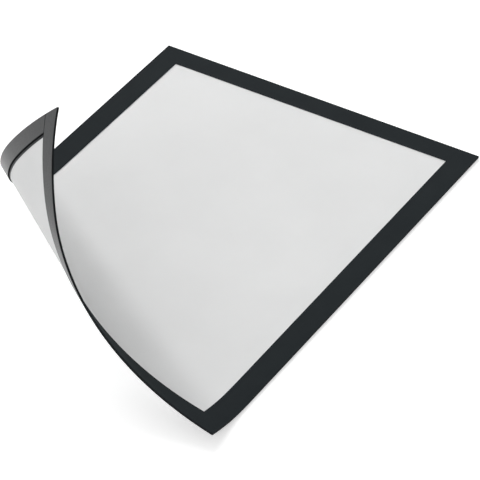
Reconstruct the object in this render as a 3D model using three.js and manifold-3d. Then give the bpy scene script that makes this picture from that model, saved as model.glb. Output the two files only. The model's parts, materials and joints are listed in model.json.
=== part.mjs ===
// A flexible magnetic display frame for an A4 page. It lies on its magnets, front side up, and one corner is
// peeled off the surface and rolled over towards the front. Millimetres, +Z up. The origin is the middle of
// the sheet, on the surface that the magnets lie on. +Y runs along the long side, away from the lifted
// corner's edge.
//
// The sheet is a laminate: magnet strips at the back, a window film over them and a border mask in front. The
// lifted corner bends like a cone: its bend lines fan out from an apex beyond the left edge. It is divided
// along those lines into flat leaves, each folded up from the one before, so it can lie flat again or curl
// further.

import * as THREE from 'three';
import { mergeVertices } from 'three/addons/utils/BufferGeometryUtils.js';
import Module from 'manifold-3d';

// The page that the frame holds, and the room round it between the magnet strips
const pageWidth = 210;
const pageHeight = 297;
const pageClearance = 0.5;

// Magnet strips and front border
const stripWidth = 12.5;
const borderWidth = 15.6;
const buttGap = 0.2;

// Layers, from the back to the front, with a bond line of adhesive between each two
const stripThickness = 0.8;
const filmThickness = 0.3;
const maskThickness = 0.2;
const bondLine = 0.05;

// First bend line: how far it meets the left and right edges from the near corners
const liftOnLeft = 178.9;
const liftOnRight = 36.5;

// Fan of the bend lines: distance of their apex from the left edge, along the first line
const fanReach = 353;

// Curl: its radius at the left edge, to the nearest whole fold, and the length there of the tip leaf
const curlRadius = 44.6;
const tipLength = 45.4;

// Leaves: the bend taken up by each fold, and the gap between neighbours
const foldAngle = 15;
const leafGap = 0.3;

// Sizes that follow from these
const sheetWidth = pageWidth + 2 * (pageClearance + stripWidth);
const sheetHeight = pageHeight + 2 * (pageClearance + stripWidth);
const halfWidth = sheetWidth / 2;
const halfHeight = sheetHeight / 2;
const filmBottom = stripThickness + bondLine;
const maskBottom = filmBottom + filmThickness + bondLine;
const foldHeight = filmBottom + filmThickness / 2;
const sheetThickness = maskBottom + maskThickness;
const cutterSpan = 4 * (sheetWidth + sheetHeight + fanReach);
const cutterHeight = 4 * sheetThickness;

const wasm = await Module();
wasm.setup();

// Solids for cutting

function toSolid(geometry) {
  const bare = geometry.clone();
  bare.deleteAttribute('normal');
  bare.deleteAttribute('uv');
  const merged = mergeVertices(bare);
  return new wasm.Manifold(new wasm.Mesh({
    numProp: 3,
    vertProperties: new Float32Array(merged.attributes.position.array),
    triVerts: new Uint32Array(merged.index.array),
  }));
}

function toGeometry(solid) {
  const mesh = solid.getMesh();
  const geometry = new THREE.BufferGeometry();
  geometry.setAttribute('position', new THREE.BufferAttribute(mesh.vertProperties, 3));
  geometry.setIndex(new THREE.BufferAttribute(mesh.triVerts, 1));
  geometry.computeVertexNormals();
  return geometry;
}

// The layers, laid flat

function flatBox(left, near, right, far, bottom, thickness) {
  const box = new THREE.BoxGeometry(right - left, far - near, thickness);
  box.translate((left + right) / 2, (near + far) / 2, bottom + thickness / 2);
  return toSolid(box);
}

function windowFilm() {
  return flatBox(-halfWidth, -halfHeight, halfWidth, halfHeight, filmBottom, filmThickness);
}

function borderMask() {
  const sheet = flatBox(-halfWidth, -halfHeight, halfWidth, halfHeight, maskBottom, maskThickness);
  const right = halfWidth - borderWidth;
  const far = halfHeight - borderWidth;
  const window = flatBox(-right, -far, right, far, maskBottom - bondLine, maskThickness + 2 * bondLine);
  return sheet.subtract(window);
}

// The short strips run through to the corners and the long ones butt between them
function magnetStrips() {
  const inner = halfWidth - stripWidth;
  const end = halfHeight - stripWidth;
  const buttEnd = end - buttGap;
  return {
    far_strip: flatBox(-halfWidth, end, halfWidth, halfHeight, 0, stripThickness),
    near_strip: flatBox(-halfWidth, -halfHeight, halfWidth, -end, 0, stripThickness),
    left_strip: flatBox(-halfWidth, -buttEnd, -inner, buttEnd, 0, stripThickness),
    right_strip: flatBox(inner, -buttEnd, halfWidth, buttEnd, 0, stripThickness),
  };
}

// Bend lines of the lifted corner

const tipCorner = new THREE.Vector2(-halfWidth, -halfHeight);
const tipFoldEnd = new THREE.Vector2(-halfWidth, -halfHeight + tipLength);
const liftLeft = new THREE.Vector2(-halfWidth, -halfHeight + liftOnLeft);
const liftRight = new THREE.Vector2(halfWidth, -halfHeight + liftOnRight);
const firstLine = liftRight.clone().sub(liftLeft).normalize();
const apex = liftLeft.clone().addScaledVector(firstLine, -fanReach);

function bendLine(fanAngle) {
  const along = firstLine.clone().rotateAround(new THREE.Vector2(), -fanAngle);
  const towardsTip = new THREE.Vector2(along.y, -along.x);
  return { along, towardsTip };
}

// The folds, from the flat sheet to the tip. Those of the curl are in the middle of equal steps round the
// apex, as many as its radius asks for. The tip bends half as tightly, so its fold is in the middle of a step
// twice as wide
function foldLines() {
  const lastFold = firstLine.angleTo(tipFoldEnd.clone().sub(apex));
  const stepAtRadius = THREE.MathUtils.degToRad(foldAngle) * curlRadius / fanReach;
  const curlFolds = Math.round(lastFold / stepAtRadius) - 1;
  const step = lastFold / (curlFolds + 1);
  const curl = Array.from({ length: curlFolds }, (_, index) => bendLine((index + 0.5) * step));
  return [...curl, bendLine(lastFold)];
}

// A block that covers everything on one side of a line through a point: side 1 is the way of across
function sideOf(point, along, across, side, clearance) {
  const block = new THREE.BoxGeometry(cutterSpan, cutterSpan, cutterHeight);
  block.rotateZ(along.angle());
  const centre = point.clone().addScaledVector(across, side * (cutterSpan / 2 + clearance));
  block.translate(centre.x, centre.y, sheetThickness / 2);
  return toSolid(block);
}

function sideOfFold(line, side) {
  return sideOf(apex, line.along, line.towardsTip, side, leafGap / 2);
}

// The stretch of a flat layer between two folds, where either may be missing
function stretch(layer, before, after) {
  let piece = layer;
  if (before) piece = piece.intersect(sideOfFold(before, 1));
  if (after) piece = piece.intersect(sideOfFold(after, -1));
  return piece;
}

// Meshes and groups

const finishes = {
  film: { color: 0xe2e2e2, roughness: 0.3, metalness: 0, transparent: true, opacity: 0.75 },
  mask: { color: 0x2d3032, roughness: 0.7, metalness: 0 },
  strip: { color: 0x5c5c5d, roughness: 0.5, metalness: 0.1 },
};

function addPiece(group, name, solid, finish) {
  if (solid.isEmpty()) return;
  const mesh = new THREE.Mesh(toGeometry(solid), new THREE.MeshStandardMaterial(finishes[finish]));
  mesh.name = name;
  group.add(mesh);
}

// A group that turns about a fold of the flat sheet, at the middle of the film
function foldedGroup(line) {
  const group = new THREE.Group();
  const axis = new THREE.Vector3(-line.along.x, -line.along.y, 0);
  const pivot = new THREE.Vector3(apex.x, apex.y, foldHeight);
  group.quaternion.setFromAxisAngle(axis, THREE.MathUtils.degToRad(foldAngle));
  group.position.copy(pivot).sub(pivot.clone().applyQuaternion(group.quaternion));
  return group;
}

// The border of a leaf is two pieces, one at the left edge and one at the near or right edge, parted on the
// corner's mitre line. The tip leaf holds the corner itself, so its border is one piece
function addBorder(group, leaf, border, isTip) {
  if (isTip) {
    addPiece(group, `border_mask_tip_${leaf}`, border, 'mask');
    return;
  }
  const mitre = new THREE.Vector2(1, 1).normalize();
  const leftOfMitre = new THREE.Vector2(-mitre.y, mitre.x);
  const half = (side) => border.intersect(sideOf(tipCorner, mitre, leftOfMitre, side, 0));
  addPiece(group, `border_mask_left_${leaf}`, half(1), 'mask');
  addPiece(group, `border_mask_near_${leaf}`, half(-1), 'mask');
}

function displayFrame() {
  const film = windowFilm();
  const mask = borderMask();
  const strips = Object.entries(magnetStrips());
  const folds = foldLines();

  const frame = new THREE.Group();
  addPiece(frame, 'window_film', stretch(film, null, folds[0]), 'film');
  addPiece(frame, 'border_mask', stretch(mask, null, folds[0]), 'mask');
  for (const [name, strip] of strips) {
    addPiece(frame, name, stretch(strip, null, folds[0]), 'strip');
  }

  let carrier = frame;
  folds.forEach((fold, index) => {
    const leaf = index + 1;
    const after = folds[leaf];
    const group = foldedGroup(fold);
    carrier.add(group);
    carrier = group;
    addPiece(group, `window_film_${leaf}`, stretch(film, fold, after), 'film');
    addBorder(group, leaf, stretch(mask, fold, after), !after);
    for (const [name, strip] of strips) {
      addPiece(group, `${name}_${leaf}`, stretch(strip, fold, after), 'strip');
    }
  });
  return frame;
}

export default displayFrame();
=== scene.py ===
# A flexible magnetic display frame, lying on its magnets with one corner peeled up and rolled over.
# Metres, +Z up.
#
# Every layer is made flat, as it is cut before lamination, and its lifted corner is then rolled.
# The rolled part bends like a cone: its bend lines fan out from an apex beyond the left edge, as
# the CAD part's hinges do. It is parted between the hinges, so that each length bends across one
# hinge and its ends meet its neighbours.

import json
import math

import bmesh
import bpy
from mathutils import Matrix, Vector
from mathutils.geometry import intersect_line_line


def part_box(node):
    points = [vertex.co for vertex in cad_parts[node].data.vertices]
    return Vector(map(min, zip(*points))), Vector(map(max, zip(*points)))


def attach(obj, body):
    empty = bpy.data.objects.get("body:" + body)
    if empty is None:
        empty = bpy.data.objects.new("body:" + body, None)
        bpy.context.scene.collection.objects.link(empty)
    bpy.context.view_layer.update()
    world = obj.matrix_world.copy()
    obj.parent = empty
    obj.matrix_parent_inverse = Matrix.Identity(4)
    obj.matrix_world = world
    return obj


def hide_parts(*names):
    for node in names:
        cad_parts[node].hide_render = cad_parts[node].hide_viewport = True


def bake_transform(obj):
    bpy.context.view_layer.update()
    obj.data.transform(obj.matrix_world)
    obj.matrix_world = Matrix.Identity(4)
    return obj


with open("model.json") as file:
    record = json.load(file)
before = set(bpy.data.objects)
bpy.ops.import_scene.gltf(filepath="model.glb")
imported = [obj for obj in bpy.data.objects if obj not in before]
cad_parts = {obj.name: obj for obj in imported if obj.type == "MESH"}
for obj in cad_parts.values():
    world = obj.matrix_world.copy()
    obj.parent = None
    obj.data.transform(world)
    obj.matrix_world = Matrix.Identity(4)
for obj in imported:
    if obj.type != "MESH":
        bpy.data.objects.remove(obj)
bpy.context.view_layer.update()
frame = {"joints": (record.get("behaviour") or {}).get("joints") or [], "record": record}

RIGHT = Vector((1, 0, 0))
FAR = Vector((0, 1, 0))
UP = Vector((0, 0, 1))

# Sizes and hinges taken from the frame
STRIP_LOW, STRIP_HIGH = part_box("far_strip")
FILM_LOW, FILM_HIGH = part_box("window_film")
MASK_LOW, MASK_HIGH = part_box("border_mask")
HALF_WIDTH = STRIP_HIGH.x
HALF_HEIGHT = STRIP_HIGH.y
STRIP_WIDTH = STRIP_HIGH.y - STRIP_LOW.y
STRIP_THICKNESS = STRIP_HIGH.z
BODIES = frame["record"]["behaviour"]["bodies"]
HINGES = frame["joints"]

# Sizes of the layers
BORDER_WIDTH = 0.0156
BUTT_GAP = 0.0004
LEDGE_WIDTH = 0.0023
# The width of the black line of painted shade on the film beside each strip's inner edge
SHADE_LINE_WIDTH = 0.0006

# Rounded edges: the edges that turn at least this far, and how they are rounded
SQUARE_EDGE = math.radians(60)
ROUNDING_PARTS = 2
STRIP_ROUNDING = 0.0002
FILM_ROUNDING = 0.00004
MASK_ROUNDING = 0.00005

# The roll: the bend of each fold, its division into facets, and the turn that is shaded as an edge
FOLD_ANGLE = math.radians(15)
FACETS_PER_FOLD = 12
SHARP_EDGE = math.radians(10)

# How far the bending of a length spreads past its two ends, as a share of the length. At this share
# the bends of neighbouring lengths join without a crease. The first length is cut from the flat
# sheet a margin before its bending starts
BEND_SPREAD = 0.87
ROOT_MARGIN = 0.008

# The lead-in, over which the bending sets in: its length on each side of the first bend line, as a
# share of the step between folds, and the parts that it is made in
LEAD_SHARE = 0.45
LEAD_PARTS = 8

# The photograph's view
CAMERA_LENS = 249.43
CAMERA_SENSOR = 36
CAMERA_AIM = Vector((0.0323, 0.00861, 0))
CAMERA_DISTANCE = 2.0654
CAMERA_AZIMUTH = math.radians(31.6)
CAMERA_ELEVATION = math.radians(38.24)
CAMERA_ROLL = math.radians(0.08)

# The stage: a pale floor just below the frame, which is lifted to white where it is seen
FLOOR_SIZE = 12
FLOOR_DROP = 0.0003
FLOOR_COLOUR = (0.8, 0.8, 0.8, 1)
FLOOR_LIFT = 0.48

# Soft light: the level all round, the width of each lamp in the sky, and each lamp's azimuth,
# elevation and level. The levels are what falls on the flat sheet, and add up to about 1
WHITE = (1, 1, 1, 1)
WORLD_LIGHT = 0.28
LAMP_SPREAD = math.radians(50)
LAMPS = {
    "back_lamp": (math.radians(135), math.radians(24), 0.42),
    "left_lamp": (math.radians(180), math.radians(28), 0.12),
    "near_lamp": (math.radians(270), math.radians(24), 0.17),
}

# Finishes: those of the film and of a strip, in their order on a piece; the slope of the faces that
# count as a strip's back; the attribute that keeps each point's place on the flat sheet; and the
# part of a noise's range that a finish makes use of
# The film's third finish is painted shade: a black line beside the strips' inner edges
FILM_CLEAR, FILM_ON_BORDER, FILM_SHADE_LINE = range(3)
STRIP_BACK, STRIP_SIDE = range(2)
BACK_NORMAL = -0.9
PLACE = "lay"
NOISE_LOW = 0.3
NOISE_HIGH = 0.7


# Geometry of the roll

FOLD_LINES = [-Vector(hinge["axis"]) for hinge in HINGES]
FOLD_POINTS = [Vector(hinge["pos_m"]) for hinge in HINGES]
APEX = intersect_line_line(
    FOLD_POINTS[0], FOLD_POINTS[0] + FOLD_LINES[0],
    FOLD_POINTS[1], FOLD_POINTS[1] + FOLD_LINES[1],
)[0]


# The fan angle between a fold and the next
def fan_step(fold):
    return FOLD_LINES[fold].angle(FOLD_LINES[fold + 1])


# The curl bends evenly between a lead-in and the tip, which bends less. A stretch is the fan angle
# that takes up the bend of one fold, and the fan angle that it ends at
CURL_FOLDS = len(HINGES) - 1
CURL_STEP = fan_step(0)
CURL_END = CURL_FOLDS * CURL_STEP
TIP_STEP = 2 * fan_step(CURL_FOLDS - 1) - CURL_STEP
LEAD = LEAD_SHARE * CURL_STEP
STRETCHES = []
for part in range(1, LEAD_PARTS + 1):
    share = (part - 0.5) / LEAD_PARTS
    STRETCHES.append((CURL_STEP / share, LEAD * (2 * part / LEAD_PARTS - 1)))
STRETCHES += [(CURL_STEP, CURL_END), (TIP_STEP, math.inf)]
FIRST_LINE = Matrix.Rotation(CURL_STEP / 2, 3, UP) @ FOLD_LINES[0]


# Direction of a bend line on the flat sheet, away from the apex
def flat_line(turn):
    return Matrix.Rotation(-turn, 3, UP) @ FIRST_LINE


# Direction across a bend line on the flat sheet, towards the tip
def towards_tip(turn):
    return flat_line(turn).cross(UP)


# Fan angle of a point of the flat sheet, past the first bend line
def fan_angle(point):
    arm = point - APEX
    return math.atan2(arm.dot(FIRST_LINE.cross(UP)), arm.dot(FIRST_LINE))


# Direction of a bend line on the rolled sheet, and the direction of the sheet's front there
def rolled_line(turn):
    start = -LEAD
    along = flat_line(start)
    front = UP
    for step, end in STRETCHES:
        part = min(turn, end) - start
        if part <= 0:
            break
        axis = front + along * (FOLD_ANGLE / step)
        rotation = Matrix.Rotation(-axis.length * part, 3, axis)
        along = rotation @ along
        front = rotation @ front
        start = end
    return along, front


# Where a point of the flat sheet lies once the corner is rolled
def rolled(point):
    turn = fan_angle(point)
    if turn <= -LEAD:
        return point
    along, front = rolled_line(turn)
    arm = point - APEX
    return APEX + along * arm.xy.length + front * arm.z


# Lengths of the roll, numbered from 1 at the flat sheet to the tip

FOLD_TURNS = [CURL_STEP / 2]
for fold in range(CURL_FOLDS):
    FOLD_TURNS.append(FOLD_TURNS[-1] + fan_step(fold))
SEAM_TURNS = [(a + b) / 2 for a, b in zip(FOLD_TURNS, FOLD_TURNS[1:])]


# Fan angles that a length bends between: from the seam before it, or from the first bend line, to
# the seam after it, or to the end of the tip's step
def start_turn(leaf):
    return SEAM_TURNS[leaf - 2] if leaf > 1 else 0


def end_turn(leaf):
    return SEAM_TURNS[leaf - 1] if leaf < len(HINGES) else FOLD_TURNS[-1] + TIP_STEP / 2


# Middle of the part of a bend line that lies on the sheet, as a distance from the apex
def middle_reach(turn):
    along = flat_line(turn)
    left = (-HALF_WIDTH - APEX.x) / along.x
    right = (HALF_WIDTH - APEX.x) / along.x
    near = (-HALF_HEIGHT - APEX.y) / along.y
    return (left + min(right, near)) / 2


# Distances from a hinge to where its bending starts and ends, on the middle of its line
def bend_extent(leaf):
    turn = FOLD_TURNS[leaf - 1]
    before = start_turn(leaf)
    after = end_turn(leaf)
    spread = BEND_SPREAD * (after - before)
    reach = middle_reach(turn)
    return reach * (before - spread - turn), reach * (after + spread - turn)


# The cut at the end of the flat sheet (0) or of a length: a point and the direction towards the tip
def end_cut(leaf):
    if leaf > 0:
        return APEX, towards_tip(SEAM_TURNS[leaf - 1])
    across = towards_tip(FOLD_TURNS[0])
    return APEX + across * (bend_extent(1)[0] - ROOT_MARGIN), across


# Cutting and rounding

def everything(bm):
    return bm.verts[:] + bm.edges[:] + bm.faces[:]


def cut_across(bm, point, direction):
    bmesh.ops.bisect_plane(bm, geom=everything(bm), plane_co=point, plane_no=direction)


# Cuts off what lies past a plane, and closes the cut
def cut_off(bm, point, direction):
    found = bmesh.ops.bisect_plane(
        bm, geom=everything(bm), plane_co=point, plane_no=direction, clear_outer=True
    )
    rim = [part for part in found["geom_cut"] if isinstance(part, bmesh.types.BMEdge)]
    bmesh.ops.holes_fill(bm, edges=rim)


# Rounds the edges between faces that stand square to each other
def round_edges(bm, rounding):
    square = [edge for edge in bm.edges if edge.calc_face_angle() > SQUARE_EDGE]
    bmesh.ops.bevel(
        bm, geom=square, offset=rounding, segments=ROUNDING_PARTS, profile=0.5,
        affect="EDGES", material=-1,
    )


# Divides a length of the roll along bend lines, closely enough to bend smoothly
def divide(bm, leaf):
    step = 2 * (FOLD_TURNS[leaf - 1] - start_turn(leaf)) / FACETS_PER_FOLD
    turns = [fan_angle(vert.co) for vert in bm.verts]
    first = math.ceil(min(turns) / step)
    last = math.floor(max(turns) / step)
    for index in range(first, last + 1):
        cut_across(bm, APEX, towards_tip(index * step))


# The layers, laid flat

def slab(low, high, rounding):
    bm = bmesh.new()
    place = Matrix.Translation((low + high) / 2) @ Matrix.Diagonal((*(high - low), 1))
    bmesh.ops.create_cube(bm, size=1, matrix=place)
    round_edges(bm, rounding)
    return bm


# The film is one sheet. Where the border covers it, it shows the border: on its cut edge, and as a
# ledge beside the magnet strips. Along the strips' inner edges a black line of painted shade stands
# for the shade that the strip's wall casts on the ledge
def film_layer():
    low = Vector((-HALF_WIDTH, -HALF_HEIGHT, FILM_LOW.z))
    high = Vector((HALF_WIDTH, HALF_HEIGHT, FILM_HIGH.z))
    bm = slab(low, high, FILM_ROUNDING)
    ledge_end = STRIP_WIDTH + LEDGE_WIDTH
    shade_line_end = STRIP_WIDTH + SHADE_LINE_WIDTH
    for inset in (ledge_end, shade_line_end):
        for side in (-1, 1):
            cut_across(bm, RIGHT * side * (HALF_WIDTH - inset), RIGHT)
            cut_across(bm, FAR * side * (HALF_HEIGHT - inset), FAR)
    for face in bm.faces:
        middle = face.calc_center_median()
        inset = min(HALF_WIDTH - abs(middle.x), HALF_HEIGHT - abs(middle.y))
        if inset >= ledge_end:
            face.material_index = FILM_CLEAR
        # Painted shade: the black line beside each strip's inner edge
        elif FILM_ROUNDING <= inset < shade_line_end:
            face.material_index = FILM_SHADE_LINE
        else:
            face.material_index = FILM_ON_BORDER
    return bm


# The border is one sheet with the window cut out of it
def border_layer():
    bm = bmesh.new()
    size = Matrix.Diagonal((HALF_WIDTH, HALF_HEIGHT, 1, 1))
    place = Matrix.Translation((0, 0, MASK_LOW.z)) @ size
    bmesh.ops.create_grid(bm, x_segments=1, y_segments=1, size=1, matrix=place)
    window = bm.faces[:]
    bmesh.ops.inset_region(
        bm, faces=window, thickness=BORDER_WIDTH, use_boundary=True, use_even_offset=True
    )
    bmesh.ops.delete(bm, geom=window, context="FACES")
    raised = bmesh.ops.extrude_face_region(bm, geom=bm.faces[:])["geom"]
    moved = [part for part in raised if isinstance(part, bmesh.types.BMVert)]
    bmesh.ops.translate(bm, verts=moved, vec=UP * (MASK_HIGH.z - MASK_LOW.z))
    bmesh.ops.recalc_face_normals(bm, faces=bm.faces[:])
    round_edges(bm, MASK_ROUNDING)
    return bm


# A magnet strip lies below the film: its back is coated, and its sides are cut
def strip_layer(low, high):
    bm = slab(Vector((*low, 0)), Vector((*high, STRIP_THICKNESS)), STRIP_ROUNDING)
    bm.normal_update()
    for face in bm.faces:
        face.material_index = STRIP_BACK if face.normal.z < BACK_NORMAL else STRIP_SIDE
    return bm


def far_strip():
    return strip_layer((-HALF_WIDTH, HALF_HEIGHT - STRIP_WIDTH), (HALF_WIDTH, HALF_HEIGHT))


def near_strip():
    return strip_layer((-HALF_WIDTH, -HALF_HEIGHT), (HALF_WIDTH, STRIP_WIDTH - HALF_HEIGHT))


def left_strip():
    end = HALF_HEIGHT - STRIP_WIDTH - BUTT_GAP
    return strip_layer((-HALF_WIDTH, -end), (STRIP_WIDTH - HALF_WIDTH, end))


def right_strip():
    end = HALF_HEIGHT - STRIP_WIDTH - BUTT_GAP
    return strip_layer((HALF_WIDTH - STRIP_WIDTH, -end), (HALF_WIDTH, end))


# Pieces

# Keeps each point's place on the flat sheet, for the finishes' patterns. Along the left and right
# edges the place is turned, so that a strip's pattern runs along the strip
def keep_place(bm, runs_along_y):
    layer = bm.verts.layers.float_vector.new(PLACE)
    for vert in bm.verts:
        vert[layer] = vert.co.yxz if runs_along_y else vert.co


def finished(name, bm, finishes):
    mesh = bpy.data.meshes.new(name)
    bm.to_mesh(mesh)
    bm.free()
    for finish in finishes:
        mesh.materials.append(finish)
    mesh.shade_smooth()
    mesh.set_sharp_from_angle(angle=SHARP_EDGE)
    piece = bpy.data.objects.new(name, mesh)
    bpy.context.scene.collection.objects.link(piece)
    return piece


# One length of a layer that reaches from the first leaf to the last. Leaf 0 is the flat sheet
def add_length(layer, leaf, first, last, name, cad_name, finishes, runs_along_y):
    bm = layer()
    if leaf > first:
        point, across = end_cut(leaf - 1)
        cut_off(bm, point, -across)
    if leaf < last:
        cut_off(bm, *end_cut(leaf))
    if leaf > 0:
        divide(bm, leaf)
    keep_place(bm, runs_along_y)
    for vert in bm.verts:
        vert.co = rolled(vert.co)
    piece = finished(name, bm, finishes)
    body = f"leaf_{leaf}" if leaf else "sheet"
    if leaf:
        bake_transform(piece)
    else:
        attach(piece, body)
    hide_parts(*[node for node in BODIES[body] if node.startswith(cad_name)])


def add_layer(layer, first, last, name, cad_name, finishes, runs_along_y=False):
    for leaf in range(first, last + 1):
        piece_name = f"{name}_roll_{leaf}" if leaf else f"{name}_flat"
        add_length(layer, leaf, first, last, piece_name, cad_name, finishes, runs_along_y)


# Finishes

class Finish:
    """A node material with one main shader, and short ways to add the nodes that drive it."""

    def __init__(self, name, **values):
        self.material = bpy.data.materials.new(name)
        self.material.use_nodes = True
        self.nodes = self.material.node_tree.nodes
        self.links = self.material.node_tree.links
        self.shader = self.nodes["Principled BSDF"]
        for socket, value in values.items():
            self.shader.inputs[socket.replace("_", " ")].default_value = value
        self.place = self.nodes.new("ShaderNodeAttribute")
        self.place.attribute_name = PLACE

    # Noise over the flat sheet: the size of its marks in metres along, across and through the sheet
    def noise(self, marks, detail=2):
        mapping = self.nodes.new("ShaderNodeMapping")
        mapping.inputs["Scale"].default_value = [1 / size for size in marks]
        self.links.new(self.place.outputs["Vector"], mapping.inputs["Vector"])
        noise = self.nodes.new("ShaderNodeTexNoise")
        noise.inputs["Scale"].default_value = 1
        noise.inputs["Detail"].default_value = detail
        self.links.new(mapping.outputs["Vector"], noise.inputs["Vector"])
        return noise.outputs["Fac"]

    def even_noise(self, mark, detail=2):
        return self.noise((mark, mark, mark), detail)

    def ramp(self, noise, low, high):
        ramp = self.nodes.new("ShaderNodeMapRange")
        ramp.inputs["From Min"].default_value = NOISE_LOW
        ramp.inputs["From Max"].default_value = NOISE_HIGH
        ramp.inputs["To Min"].default_value = low
        ramp.inputs["To Max"].default_value = high
        self.links.new(noise, ramp.inputs["Value"])
        return ramp.outputs["Result"]

    def drive(self, socket, value):
        self.links.new(value, self.shader.inputs[socket])

    def colour(self, noise, dark, pale):
        mix = self.nodes.new("ShaderNodeMix")
        mix.data_type = "RGBA"
        mix.inputs["A"].default_value = (*dark, 1)
        mix.inputs["B"].default_value = (*pale, 1)
        self.links.new(self.ramp(noise, 0, 1), mix.inputs["Factor"])
        self.drive("Base Color", mix.outputs["Result"])

    def roughness(self, noise, low, high):
        self.drive("Roughness", self.ramp(noise, low, high))

    def relief(self, noise, depth):
        bump = self.nodes.new("ShaderNodeBump")
        bump.inputs["Distance"].default_value = depth
        self.links.new(noise, bump.inputs["Height"])
        self.drive("Normal", bump.outputs["Normal"])


# Clear PVC with a fine anti-glare texture, which clouds it
def film_finish():
    finish = Finish("window_film", Transmission_Weight=0.3, IOR=1.45)
    clouds = finish.even_noise(0.05, detail=3)
    grain = finish.even_noise(0.0003)
    finish.colour(clouds, dark=(0.685, 0.69, 0.69), pale=(0.715, 0.72, 0.72))
    finish.roughness(grain, low=0.38, high=0.5)
    finish.relief(grain, depth=0.000006)
    return finish.material


# The same film where the border is bonded to it: clear, with the dark border right behind
def bonded_film_finish():
    finish = Finish("film_on_border", Specular_IOR_Level=0.06)
    clouds = finish.even_noise(0.004, detail=3)
    grain = finish.even_noise(0.0003)
    finish.colour(clouds, dark=(0.014, 0.016, 0.018), pale=(0.02, 0.022, 0.024))
    finish.roughness(grain, low=0.3, high=0.4)
    return finish.material


# Painted shade: a black line along the strips' inner edges, where the strip's wall shades the film,
# with a faintly mottled tone
def shade_line_finish():
    finish = Finish("painted_edge_shade", Specular_IOR_Level=0.02)
    mottle = finish.even_noise(0.0012)
    finish.colour(mottle, dark=(0.001, 0.001, 0.0011), pale=(0.004, 0.004, 0.0043))
    finish.roughness(mottle, low=0.6, high=0.8)
    return finish.material


# Matte charcoal vinyl with a fine even grain
def border_finish():
    finish = Finish("border", Specular_IOR_Level=0.05)
    clouds = finish.even_noise(0.02, detail=4)
    grain = finish.even_noise(0.00035, detail=3)
    finish.colour(clouds, dark=(0.0079, 0.0113, 0.0133), pale=(0.0101, 0.014, 0.016))
    finish.roughness(grain, low=0.7, high=0.85)
    finish.relief(grain, depth=0.00001)
    return finish.material


# Grey coat on the back of the magnet: satin, with faint rolling streaks along the strip
def magnet_back_finish():
    finish = Finish("magnet_back", Specular_IOR_Level=0.17)
    streaks = finish.noise((0.03, 0.0006, 0.001), detail=3)
    grain = finish.even_noise(0.0002)
    finish.colour(streaks, dark=(0.0155, 0.0165, 0.0177), pale=(0.0215, 0.0225, 0.0237))
    finish.roughness(grain, low=0.24, high=0.32)
    finish.relief(grain, depth=0.000006)
    return finish.material


# Cut side of the magnet: charcoal filled rubber with torn specks
def magnet_side_finish():
    finish = Finish("magnet_side", Specular_IOR_Level=0.04)
    specks = finish.noise((0.0003, 0.0003, 0.00015), detail=3)
    finish.colour(specks, dark=(0.012, 0.0132, 0.014), pale=(0.021, 0.0225, 0.0235))
    finish.roughness(specks, low=0.6, high=0.8)
    finish.relief(specks, depth=0.00003)
    return finish.material


def dress_frame():
    magnet = [magnet_back_finish(), magnet_side_finish()]
    film = [film_finish(), bonded_film_finish(), shade_line_finish()]
    border = [border_finish()]
    tip = len(HINGES)
    add_layer(film_layer, 0, tip, "film", "window_film", film)
    add_layer(border_layer, 0, tip, "border", "border_mask", border)
    add_layer(far_strip, 0, 0, "far_magnet", "far_strip", magnet)
    add_layer(left_strip, 0, tip, "left_magnet", "left_strip", magnet, runs_along_y=True)
    add_layer(near_strip, 1, tip, "near_magnet", "near_strip", magnet)
    add_layer(right_strip, 0, 1, "right_magnet", "right_strip", magnet, runs_along_y=True)


# Stage, light and camera

# 1 on a ray that shows the stage: from the camera, a reflection, or through the film
def seen_directly(nodes, links):
    path = nodes.new("ShaderNodeLightPath")
    seen = path.outputs["Is Camera Ray"]
    for kind in ("Is Glossy Ray", "Is Transmission Ray"):
        either = nodes.new("ShaderNodeMath")
        either.operation = "MAXIMUM"
        links.new(seen, either.inputs[0])
        links.new(path.outputs[kind], either.inputs[1])
        seen = either.outputs["Value"]
    return seen


def floor_finish():
    material = bpy.data.materials.new("floor")
    material.use_nodes = True
    nodes = material.node_tree.nodes
    links = material.node_tree.links
    shader = nodes["Principled BSDF"]
    shader.inputs["Base Color"].default_value = FLOOR_COLOUR
    shader.inputs["Roughness"].default_value = 1
    shader.inputs["Specular IOR Level"].default_value = 0
    shader.inputs["Emission Color"].default_value = WHITE
    lift = nodes.new("ShaderNodeMath")
    lift.operation = "MULTIPLY"
    lift.inputs[1].default_value = FLOOR_LIFT
    links.new(seen_directly(nodes, links), lift.inputs[0])
    links.new(lift.outputs["Value"], shader.inputs["Emission Strength"])
    return material


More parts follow.
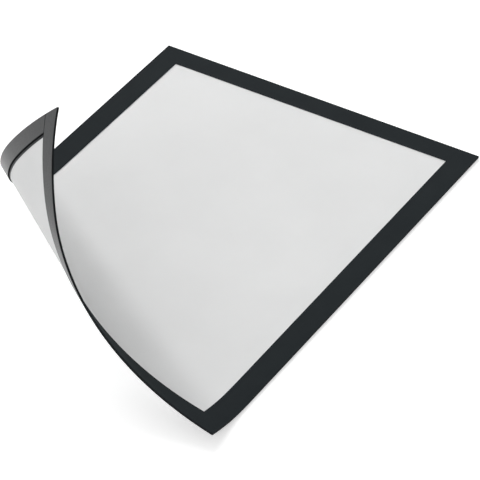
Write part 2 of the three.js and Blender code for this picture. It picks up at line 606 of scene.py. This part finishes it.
def add_floor():
    bm = bmesh.new()
    place = Matrix.Translation((0, 0, -FLOOR_DROP))
    bmesh.ops.create_grid(bm, x_segments=1, y_segments=1, size=FLOOR_SIZE / 2, matrix=place)
    mesh = bpy.data.meshes.new("floor")
    bm.to_mesh(mesh)
    bm.free()
    mesh.materials.append(floor_finish())
    floor = bpy.data.objects.new("floor", mesh)
    bpy.context.scene.collection.objects.link(floor)


def add_world():
    world = bpy.data.worlds.new("studio")
    world.use_nodes = True
    nodes = world.node_tree.nodes
    links = world.node_tree.links
    level = nodes.new("ShaderNodeMapRange")
    level.inputs["To Min"].default_value = WORLD_LIGHT
    level.inputs["To Max"].default_value = 1
    links.new(seen_directly(nodes, links), level.inputs["Value"])
    background = nodes["Background"]
    background.inputs["Color"].default_value = WHITE
    links.new(level.outputs["Result"], background.inputs["Strength"])
    bpy.context.scene.world = world


# A wide soft lamp far off: the azimuth is counted from +X towards +Y
def add_lamp(name, azimuth, elevation, level):
    light = bpy.data.lights.new(name, "SUN")
    light.angle = LAMP_SPREAD
    light.energy = level * math.pi / math.sin(elevation)
    lamp = bpy.data.objects.new(name, light)
    lamp.rotation_euler = (0, math.pi / 2 - elevation, azimuth)
    bpy.context.scene.collection.objects.link(lamp)


# The camera's azimuth is counted from -Y towards +X
def add_camera():
    level = math.cos(CAMERA_ELEVATION)
    back = Vector((
        math.sin(CAMERA_AZIMUTH) * level,
        -math.cos(CAMERA_AZIMUTH) * level,
        math.sin(CAMERA_ELEVATION),
    ))
    data = bpy.data.cameras.new("camera")
    data.lens = CAMERA_LENS
    data.sensor_width = CAMERA_SENSOR
    camera = bpy.data.objects.new("camera", data)
    roll = Matrix.Rotation(CAMERA_ROLL, 3, "Z")
    turned = (-back).to_track_quat("-Z", "Y").to_matrix() @ roll
    place = Matrix.Translation(CAMERA_AIM + back * CAMERA_DISTANCE)
    camera.matrix_world = place @ turned.to_4x4()
    bpy.context.scene.collection.objects.link(camera)
    bpy.context.scene.camera = camera


bpy.context.scene.view_settings.view_transform = "Standard"
add_camera()
add_world()
for name, (azimuth, elevation, level) in LAMPS.items():
    add_lamp(name, azimuth, elevation, level)
add_floor()
dress_frame()
